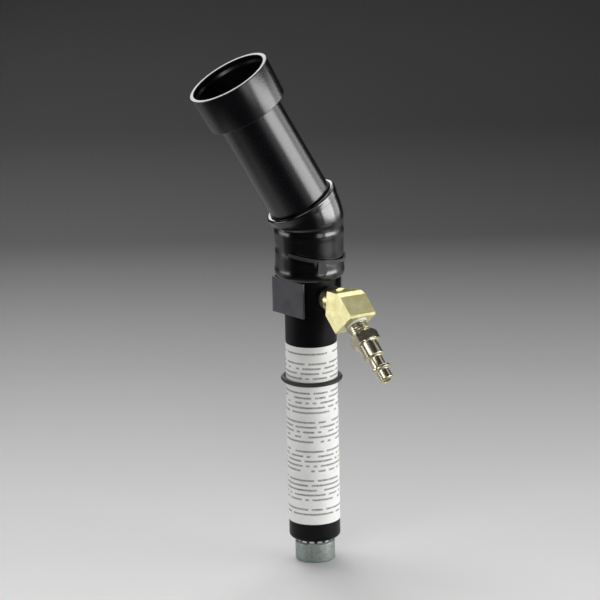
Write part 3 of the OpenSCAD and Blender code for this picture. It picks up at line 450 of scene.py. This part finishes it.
def elbowRings(e):
    toward, angle = math.radians(lean["toward"]), math.radians(lean["angle"])
    side = Vector((math.cos(toward), math.sin(toward), 0))
    level = Vector((-math.sin(toward), math.cos(toward), 0))
    rise = Vector((0, 0, 1))
    count, seam = e["segments"], e["ridge"]
    low, top, cuffR = e["cuffZ"], lean["bendZ"], e["cuffR"]
    tangent, path = lean["tangent"], lean["pathR"]

    def ringAt(centre, tip, radius, ridge, nub=0.0):
        across = side * math.cos(tip) - rise * math.sin(tip)
        made = []
        for k in range(count):
            a = 2 * math.pi * k / count
            r = radius(a) if callable(radius) else radius
            r += (ridge if k % (count // 2) == 0 else 0) + (nub if k in (0, 1, count - 1) else 0)
            made.append(centre + across * math.cos(a) * r + level * math.sin(a) * r)
        return made

    def onCuff(z, radius, ridge=0.0):
        return ringAt(rise * z, 0.0, radius, ridge)

    def onBend(share, radius, ridge=0.0):
        a = angle * share
        return ringAt(rise * (top + path * math.sin(a)) + side * path * (1 - math.cos(a)), a, radius, ridge)

    def onSocket(s, radius, ridge=0.0, nub=0.0):
        centre = rise * (lean["cornerZ"] + s * math.cos(angle)) + side * s * math.sin(angle)
        return ringAt(centre, angle, radius, ridge, nub)

    def soft(z):  # the cuff swells at both ends, draws in under the tilted clip and ripples beside it
        (topIn, topSpread), (lowIn, lowSpread) = e["topBead"], e["lowBead"]
        puff = (hill(z - top + topIn, topSpread) + hill(z - low - lowIn, lowSpread)) * e["swell"]
        tilt, tiltToward = math.radians(e["tilt"]), math.radians(e["tiltToward"])

        def radius(a):
            off = z - e["waistZ"] - cuffR * math.tan(tilt) * math.cos(a + toward - tiltToward)
            folds = sum(share * math.sin(times * a + start) for times, start, share in e["folds"])
            folds *= e["ripple"] * hill(off, e["rippleSpread"]) * (1 - hill(off, e["rippleGap"]))
            return cuffR + puff - hill(off, e["waistSpread"]) * e["waist"] + folds
        return radius

    rings = [onCuff(low + up, cuffR - shy, seam) for up, shy in e["mouthEase"]]
    for i in range(1, e["cuffRings"]):
        z = low + e["cuffEnd"] + (top - 2 * e["cuffEnd"] - low) * i / e["cuffRings"]
        rings.append(onCuff(z, soft(z), seam))
    for i in range(e["bendRings"] + 1):  # the cuff's end bead runs out into the bend without an edge
        share = e["bendFrom"] + e["bendSpan"] * i / e["bendRings"]
        blend = min(1, share / e["runOut"])
        rings.append(onBend(share, cuffR + (e["bendR"] - cuffR) * blend * blend * (3 - 2 * blend), seam))
    rings += [onSocket(tangent + up, e["bandR"] - shy, seam) for up, shy in e["bandEase"]]
    taper = (e["rimR"] - e["bandR"]) / (e["rimAt"] - tangent)
    rings += [onSocket(s, e["bandR"] + (s - tangent) * taper, seam) for s in e["bandAt"]]
    half, middle = (e["rimR"] - e["socketBore"]) / 2, (e["rimR"] + e["socketBore"]) / 2
    for a in range(0, 181, e["lipStep"]):  # the lip is round, so only a line of it shines
        t = math.radians(a)
        s = e["rimAt"] - e["lip"] * (1 - math.sin(t))
        ridge, nub = seam * (a < e["ridgeTo"]), e["nub"] * (a < e["nubTo"])
        rings.append(onSocket(s, middle + half * math.cos(t), ridge, nub))
    rings += [onSocket(tangent, e["socketBore"]), onSocket(tangent, e["bendBore"])]
    rings += [onBend(1 - i / e["boreRings"], e["bendBore"]) for i in range(1, e["boreRings"] + 1)]
    rings += [onCuff(top - e["throatDrop"], e["throat"]), onCuff(e["shoulderZ"], e["throat"])]
    rings.append(onCuff(e["shoulderZ"], e["cuffBore"]))
    rings += [onCuff(low + up, e["cuffBore"] + wide) for up, wide in e["boreEase"]]
    return rings


dress(ringed("outletElbow", elbowRings(elbow)), pvcElbow, "outlet", "moulded_black", "outlet_elbow")
print("outlet elbow skinned")


# control knob: plain drum with eased edges and a blind seat
knob = {"radius": 12.3, "height": 12.6, "foot": 0.6, "shoulder": 1.2, "shoulderIn": 0.9, "seatR": 4.02,
        "seatZ": 4.0, "ease": 0.4, "shoulderEase": 0.5, "seatEase": 0.2}
controlKnob = turned("controlKnob", [
    (0, 0, 0), (knob["radius"] - knob["foot"], 0, knob["ease"]), (knob["radius"], knob["foot"], knob["ease"]),
    (knob["radius"], knob["height"] - knob["shoulder"], knob["shoulderEase"]),
    (knob["radius"] - knob["shoulderIn"], knob["height"], knob["ease"]),
    (knob["seatR"], knob["height"], knob["seatEase"]), (knob["seatR"], knob["seatZ"], knob["seatEase"]),
    (0, knob["seatZ"], 0)], upright, knobSteel)
dress(controlKnob, None, "control", "plated_grey", "knob")

# knob lands: pale blocks on the knob's top, the exhaust slots between them; their paleness is partly a
# painted glint
lands = {"count": 14, "outR": 11.3, "inR": 10.1, "low": 12.3, "slot": 12.75, "top": 14.0, "share": 0.55,
         "first": 3.0, "steps": 12, "ease": 0.2}


def landRings(s):
    count, ease = s["count"] * s["steps"], s["ease"]
    line = ((s["inR"], False, 0), (s["outR"], False, 0), (s["outR"], True, ease),
            (s["outR"] - ease, True, 0), (s["inR"] + ease, True, 0), (s["inR"], True, ease))
    rings = []
    for radius, raised, drop in line:
        made = []
        for k in range(count):
            a = 2 * math.pi * k / count + math.radians(s["first"])
            top = s["top"] if k % s["steps"] < s["share"] * s["steps"] else s["slot"]
            made.append((radius * math.cos(a), radius * math.sin(a), top - drop if raised else s["low"]))
        rings.append(made)
    return rings


dress(ringed("knobLands", landRings(lands)), landPaintedGlintSteel, "control", "plated_grey")


# loose ring: round cord with the thin flash of its mould
ring = {"middle": 17.645, "cord": 1.45, "z": 117.8, "flash": 0.12, "steps": 32, "segments": 144}
ringCorners = []
for k in range(ring["steps"]):
    a = 2 * math.pi * k / ring["steps"]
    r = ring["cord"] - (0 if k in (0, ring["steps"] // 2) else ring["flash"])
    ringCorners.append((ring["middle"] + r * math.cos(a), ring["z"] + r * math.sin(a), 0))
looseRing = turned("looseRing", ringCorners, upright, rubber, ring["segments"])
dress(looseRing, None, "cooler", "rubber", "loose_ring")
print("knob and ring turned")


# quick-connect plug: rings along its axis, the hexagon cut into them
plug = {"segments": 120, "arcSteps": 4, "sharp": 26, "threadR": 6.1, "from": -8.5, "boreR": 2.5, "hexAt": 8.4,
        "hexEnd": 15.2, "hexFlat": 7.95, "hexTurn": 39.0, "hexShy": 0.1, "hexPast": 0.05, "chamfer": 0.7,
        "barrelR": 6.35, "grooveAt": 25.6, "grooveR": 4.35, "slope": 0.8, "ribAt": 32.6, "ribR": 6.15,
        "ribStep": 0.1, "tipAt": 35.2, "tipR": 4.5, "tipChamfer": 0.8, "end": 41.8,
        "ease": {"root": 0.1, "hexFace": 0.15, "hexCorner": 0.2, "barrel": 0.6, "groove": 0.7, "rib": 0.5,
                 "tip": 0.4, "end": 0.3, "bore": 0.25}}


def plugRings(p):
    ease = p["ease"]
    face, corner = p["hexFlat"] - p["hexShy"], p["hexFlat"] / math.cos(math.pi / 6) + p["hexPast"]
    line = rounded([
        (p["threadR"], p["from"], 0), (p["threadR"], p["hexAt"], ease["root"]),
        (face, p["hexAt"], ease["hexFace"]), (corner, p["hexAt"] + p["chamfer"], ease["hexCorner"]),
        (corner, p["hexEnd"] - p["chamfer"], ease["hexCorner"]), (face, p["hexEnd"], ease["hexFace"]),
        (p["barrelR"], p["hexEnd"], ease["hexCorner"]),
        (p["barrelR"], p["grooveAt"] - p["slope"], ease["barrel"]),
        (p["grooveR"], p["grooveAt"], ease["groove"]), (p["grooveR"], p["ribAt"], ease["barrel"]),
        (p["ribR"], p["ribAt"] + p["ribStep"], ease["rib"]),
        (p["ribR"], p["tipAt"] - p["slope"], ease["rib"]),
        (p["tipR"], p["tipAt"], ease["tip"]), (p["tipR"], p["end"] - p["tipChamfer"], ease["rib"]),
        (p["tipR"] - p["tipChamfer"], p["end"], ease["end"]), (p["boreR"], p["end"], ease["bore"]),
        (p["boreR"], p["from"], 0)], p["arcSteps"])
    turn = math.radians(p["hexTurn"])
    rings = []
    for point in line:
        onHex = p["hexAt"] <= point.y <= p["hexEnd"]
        made = []
        for k in range(p["segments"]):
            a = 2 * math.pi * k / p["segments"]
            r = min(point.x, hexagonAt(p["hexFlat"], a)) if onHex else point.x
            made.append((r * math.cos(a + turn), r * math.sin(a + turn), point.y))
        rings.append(made)
    return rings


quickPlug = ringed("quickPlug", plugRings(plug), plugAxis, plug["sharp"])
dress(quickPlug, plugSteel, "cooler", "plated_steel", "quick_plug")


# thread turns that show on the elbow's shank and at the plug's root
threads = {"pitch": 1.41, "ridge": 0.28, "steps": 72, "sides": 6,
           "shank": {"radius": 6.6, "from": 15.2, "length": 4.7},
           "plug": {"radius": 6.1, "from": 0.8, "length": 8.0}}


def threadTree(t):
    tree, ins = startTree("threadTurns", ("Turns", "NodeSocketFloat", 3.0),
                          ("Radius", "NodeSocketFloat", 6.0), ("Length", "NodeSocketFloat", 4.0),
                          ("Ridge", "NodeSocketFloat", 0.5), ("Material", "NodeSocketMaterial", None))
    path = addNode(tree, "GeometryNodeCurveSpiral", {
        "Resolution": t["steps"], "Rotations": ins["Turns"], "Start Radius": ins["Radius"],
        "End Radius": ins["Radius"], "Height": ins["Length"]}).outputs[0]
    ridge = addNode(tree, "GeometryNodeCurvePrimitiveCircle", {
        "Resolution": t["sides"], "Radius": ins["Ridge"]}).outputs[0]
    skin = addNode(tree, "GeometryNodeCurveToMesh", {
        "Curve": path, "Profile Curve": ridge, "Fill Caps": True}).outputs[0]
    return endTree(tree, skin, ins["Material"])


threadTurns = threadTree(threads)
for name, run, mat, slot, axis in (("shankThread", threads["shank"], brass, "brass", inletAxis),
                                   ("plugThread", threads["plug"], plugSteel, "plated_steel", plugAxis)):
    thread = bake(name, threadTurns, {"Turns": run["length"] / threads["pitch"], "Radius": run["radius"],
                                      "Length": run["length"], "Ridge": threads["ridge"], "Material": mat})
    dress(settle(thread, axis @ along(run["from"])), None, "cooler", slot)


# thread tape: a few uneven turns squeezed out at the elbow's face
tape = {"segments": 96, "sharp": 50, "inner": 6.62, "outer": 7.25, "uneven": 0.12, "looseFrom": 1.0,
        "line": ((0.2, 0.02), (0, 0.3), (0.05, 0.7), (0.15, 1.1), (0.35, 1.5)),  # in from outside, height
        "waves": ((4, 3, 0, 1.0), (7, 0, 1.1, 0.6), (13, 5, 0, 0.4))}  # times round, slant, start, share


def tapeRings(t):
    line = [(t["outer"] - shy, z) for shy, z in t["line"]]
    rings = []
    for radius, z in [(t["inner"], line[0][1])] + line + [(t["inner"], line[-1][1])]:
        made = []
        for k in range(t["segments"]):
            a = 2 * math.pi * k / t["segments"]
            sway = sum(share * math.sin(times * a + slant * z + start)
                       for times, slant, start, share in t["waves"]) * t["uneven"] / 2
            r = radius + (sway - t["uneven"] if radius > t["inner"] else 0)
            made.append((r * math.cos(a), r * math.sin(a), z - (sway if z > t["looseFrom"] else 0)))
        rings.append(made)
    return rings


threadTape = ringed("threadTape", tapeRings(tape), plugAxis, tape["sharp"])
dress(threadTape, tapeWhite, "cooler", "tape_white", "thread_tape")
print("plug, threads and tape made")


# bracket screws: countersunk heads with a hexagon socket, set in a row on the web
screws = {"count": 2, "pitch": 11.0, "firstZ": 166.7, "faceY": 17.175, "headR": 2.72, "shankR": 1.48,
          "coneL": 1.25, "length": 3.9, "socketR": 1.15, "socketL": 1.0, "drillL": 0.4, "edge": 0.08,
          "headEase": 0.1, "socketEase": 0.12, "endEase": 0.3, "segments": 48, "sharp": 30}


def screwTree():
    tree, ins = startTree("screwRow", ("Screw", "NodeSocketGeometry", None), ("Count", "NodeSocketInt", 2),
                          ("Pitch", "NodeSocketFloat", 1.0), ("Material", "NodeSocketMaterial", None))
    step = addNode(tree, "ShaderNodeCombineXYZ", {"Z": ins["Pitch"]}).outputs[0]
    row = addNode(tree, "GeometryNodeMeshLine", {"Count": ins["Count"], "Offset": step}).outputs[0]
    placed = addNode(tree, "GeometryNodeInstanceOnPoints", {
        "Points": row, "Instance": ins["Screw"]}).outputs[0]
    return endTree(tree, placed, ins["Material"])


def screwRings(s):
    socketR, headR, shankR, length = s["socketR"], s["headR"], s["shankR"], s["length"]
    line = (  # radius, height from the face, hexagon or round
        (0, -s["socketL"] - s["drillL"], True), (socketR, -s["socketL"], True), (socketR, -s["edge"], True),
        (socketR + s["socketEase"], 0, False), (headR - s["headEase"], 0, False), (headR, -s["edge"], False),
        (shankR, -s["coneL"], False), (shankR, s["endEase"] - length, False),
        (shankR - s["endEase"], -length, False), (0, -length, False))
    rings = []
    for radius, z, hexagon in line:
        made = []
        for k in range(s["segments"]):
            a = 2 * math.pi * k / s["segments"]
            r = hexagonAt(radius * math.cos(math.pi / 6), a) if hexagon else radius
            made.append((r * math.cos(a), r * math.sin(a), z))
        rings.append(made)
    return rings


screwAxis = Matrix.Translation((0, screws["faceY"], screws["firstZ"])) @ along(0, -90, "X")
oneScrew = ringed("oneScrew", screwRings(screws), screwAxis, screws["sharp"])
bracketScrews = bake("bracketScrews", screwTree(), {
    "Count": screws["count"], "Pitch": screws["pitch"] * mm, "Material": screwSteel}, oneScrew.data)
bpy.data.objects.remove(oneScrew)
dress(bracketScrews, None, "cooler", "plated_steel", "bracket_screws")
print("screws set")


# pieces that keep the part's own form, with eased edges
easing = {"weld": 1e-6, "flat": 0.6, "crispFrom": 14, "segments": 2}  # weld in metres, angles in degrees


def softened(node, name, width, e):  # a copy of a CAD node whose hard edges are eased
    source = nodes[node].data
    mesh = bpy.data.meshes.new(name)
    mesh.from_pydata([v.co[:] for v in source.vertices], [], [p.vertices[:] for p in source.polygons])
    bm = bmesh.new()
    bm.from_mesh(mesh)
    bmesh.ops.remove_doubles(bm, verts=bm.verts, dist=e["weld"])
    bmesh.ops.dissolve_limit(bm, angle_limit=math.radians(e["flat"]), verts=bm.verts, edges=bm.edges)
    for face in bm.faces:
        face.smooth = True
    for edge in bm.edges:  # shallow corners stay crisp, the steeper ones are eased below
        edge.smooth = not math.radians(e["crispFrom"]) < edge.calc_face_angle(0) < math.radians(sharpFrom)
    bm.to_mesh(mesh)
    bm.free()
    obj = bpy.data.objects.new(name, mesh)
    scene.collection.objects.link(obj)
    ease = obj.modifiers.new("ease", "BEVEL")
    ease.width = width * mm
    ease.segments = e["segments"]
    ease.limit_method = "ANGLE"
    ease.angle_limit = math.radians(sharpFrom)
    ease.harden_normals = True
    ease.use_clamp_overlap = True
    return flatten(obj)


for node, name, width, mat, body, slot in (
        ("inlet_elbow", "inletElbow", 0.14, brass, "cooler", "brass"),
        ("belt_bracket", "beltBracket", 0.22, sheetBlack, "cooler", "sheet_black"),
        ("jacket", "jacketTube", 0.25, anodised, "cooler", "anodised_black"),
        ("end_cap", "endCap", 0.25, anodised, "cooler", "anodised_black"),
        ("vortex_head", "vortexHead", 0.25, anodised, "cooler", "anodised_black"),
        ("cuff_clip", "cuffClip", 0.25, nylonClip, "outlet", "clip_black")):
    dress(softened(node, name, width, easing), mat, body, slot, node)
print("edges eased")

# the rest keep their CAD mesh and take a finish
for node, mat in (("label", labelFilm), ("valve_stem", valveBrass), ("stem_seal", rubber),
                  ("valve_body", valveBrass), ("hot_tube", alloy), ("muffler_sleeve", felt),
                  ("generator", nozzleBrass), ("generator_seal", rubber), ("cold_cap", alloy),
                  ("cap_seal", rubber), ("cuff_seal", rubber)):
    for place in nodes[node].material_slots:
        place.material = mat
print("finishes set")


# studio in metres: paper floor with painted light (a painted falloff along the line of sight, a painted band
# of light under the object, painted shade beside it in front, a painted spot of light at the right); soft
# boxes round it
studio = {"paperR": 9.0, "paperSides": 96, "turn": 44.0, "paintedPoolR": (0.19, 0.3), "outside": (0.1, 0.9),
          "outsideAt": (-0.03, 0.13), "paintedSpotAt": (0.55, -0.3, 0.0), "paintedSpotR": (0.14, 0.34), "paintedSpot": "#f2f2f2",
          "paintedFalloff": ((-0.6, "#0c0c0c"), (-0.34, "#181818"), (-0.2, "#848484"), (-0.1, "#e0e0e0"),
                   (0.1, "#cacaca"), (0.4, "#969696"), (0.7, "#424242"), (1.0, "#2b2b2b"), (1.4, "#383838")),
          "world": "#ffffff", "worldGlow": 0.02, "boxAim": 0.16, "boxAway": 1.5}
paperLook = {"dark": "#d8d8d8", "pale": "#e0e0e0", "patch": 20, "grain": 1.2, "depth": 0.03, "strength": 0.2,
             "rough": (0.55, 0.7), "sockets": {"Specular IOR Level": 0.3}}
softBoxes = (  # name, toward and rise in degrees, width, height, brightness where white paper is 1
    ("keyBox", -58, 4, 1.2, 0.46, 10.0), ("keyLeftBox", -97, 4, 0.5, 0.46, 2.6),
    ("keyRightBox", -20, 4, 0.75, 0.46, 3.2), ("leftBox", 134, 4, 1.25, 0.46, 3.9),
    ("backBox", 62, 22, 0.75, 0.5, 4.0), ("frontBox", -150, 27, 1.5, 0.5, 3.5),
    ("sideBox", 22, 46, 0.7, 0.6, 3.4), ("cornerBox", -26, 43, 0.6, 0.6, 0.75),
    ("topBox", 84, 64, 0.9, 0.9, 4.4))


def paperWithPaintedLight(s, look):  # paper whose colour is painted light: a painted falloff, a painted band of light, painted shade and a painted spot of light
    mat = surface("paperPaintedLight", look)
    tree = mat.node_tree
    coords = addNode(tree, "ShaderNodeTexCoord").outputs["Object"]
    rolled = addNode(tree, "ShaderNodeMapping", {
        "Vector": coords, "Rotation": (0, 0, math.radians(s["turn"]))}).outputs[0]
    place = addNode(tree, "ShaderNodeSeparateXYZ", {0: rolled}).outputs
    first, last = s["paintedFalloff"][0][0], s["paintedFalloff"][-1][0]
    share = addNode(tree, "ShaderNodeMapRange", {
        "Value": place["Y"], "From Min": first, "From Max": last}).outputs[0]
    # the ramp is a painted falloff of light: pale near the object, painted shade in front of it and far
    # behind
    ramp = addNode(tree, "ShaderNodeValToRGB", {0: share})
    stops = ramp.color_ramp.elements
    for i, (reach, code) in enumerate(s["paintedFalloff"]):
        at = (reach - first) / (last - first)
        stop = stops[i] if i < 2 else stops.new(at)  # a new ramp has two stops
        stop.position = at
        stop.color = linear(code)
    # a painted band of light along the line of sight under the object; beyond it painted shade darkens the
    # paper, most in front
    across = addNode(tree, "ShaderNodeMath", {0: place["X"]}, operation="ABSOLUTE").outputs[0]
    outside = addNode(tree, "ShaderNodeMapRange", {
        "Value": place["Y"], "From Min": s["outsideAt"][0], "From Max": s["outsideAt"][1],
        "To Min": s["outside"][0], "To Max": s["outside"][1]}).outputs[0]
    paintedPool = addNode(tree, "ShaderNodeMapRange", {
        "Value": across, "From Min": s["paintedPoolR"][0], "From Max": s["paintedPoolR"][1],
        "To Min": 1.0, "To Max": outside}, interpolation_type="SMOOTHSTEP").outputs[0]
    paper = addNode(tree, "ShaderNodeMix", {0: 1.0, 6: ramp.outputs[0], 7: paintedPool},
                    data_type="RGBA", blend_type="MULTIPLY").outputs[2]
    # a painted spot of light on the paper at the right, which the cuff mirrors as a highlight
    fromPaintedSpot = addNode(tree, "ShaderNodeVectorMath", {0: rolled, 1: s["paintedSpotAt"]}, operation="DISTANCE")
    paintedSpot = addNode(tree, "ShaderNodeMapRange", {
        "Value": fromPaintedSpot.outputs["Value"], "From Min": s["paintedSpotR"][0], "From Max": s["paintedSpotR"][1],
        "To Min": 1.0, "To Max": 0.0}, interpolation_type="SMOOTHSTEP").outputs[0]
    lit = addNode(tree, "ShaderNodeMix", {
        0: paintedSpot, 6: paper, 7: linear(s["paintedSpot"])}, data_type="RGBA").outputs[2]
    tree.links.new(lit, tree.nodes["Principled BSDF"].inputs["Base Color"])
    return mat


def setFloor(s, mat):
    bm = bmesh.new()
    bmesh.ops.create_circle(bm, cap_ends=True, segments=s["paperSides"], radius=s["paperR"])
    mesh = bpy.data.meshes.new("paperFloor")
    bm.to_mesh(mesh)
    bm.free()
    mesh.materials.append(mat)
    floor = bpy.data.objects.new("paperFloor", mesh)
    scene.collection.objects.link(floor)


def setWorld(s):
    world = bpy.data.worlds.new("studioWorld")
    scene.world = world
    world.use_nodes = True
    back = world.node_tree.nodes["Background"]
    back.inputs["Color"].default_value = linear(s["world"])
    back.inputs["Strength"].default_value = s["worldGlow"]


def setBox(s, name, toward, rise, width, height, glow):
    a, e = math.radians(toward), math.radians(rise)
    out = Vector((math.cos(a) * math.cos(e), math.sin(a) * math.cos(e), math.sin(e)))
    data = bpy.data.lights.new(name, "AREA")
    data.shape = "RECTANGLE"
    data.size = width
    data.size_y = height
    data.energy = glow * math.pi * width * height
    lamp = bpy.data.objects.new(name, data)
    lamp.matrix_world = out.to_track_quat("Z", "Y").to_matrix().to_4x4()
    lamp.location = Vector((0, 0, s["boxAim"])) + out * s["boxAway"]
    scene.collection.objects.link(lamp)


setFloor(studio, paperWithPaintedLight(studio, paperLook))
setWorld(studio)
for box in softBoxes:
    setBox(studio, *box)
print("stage lit")
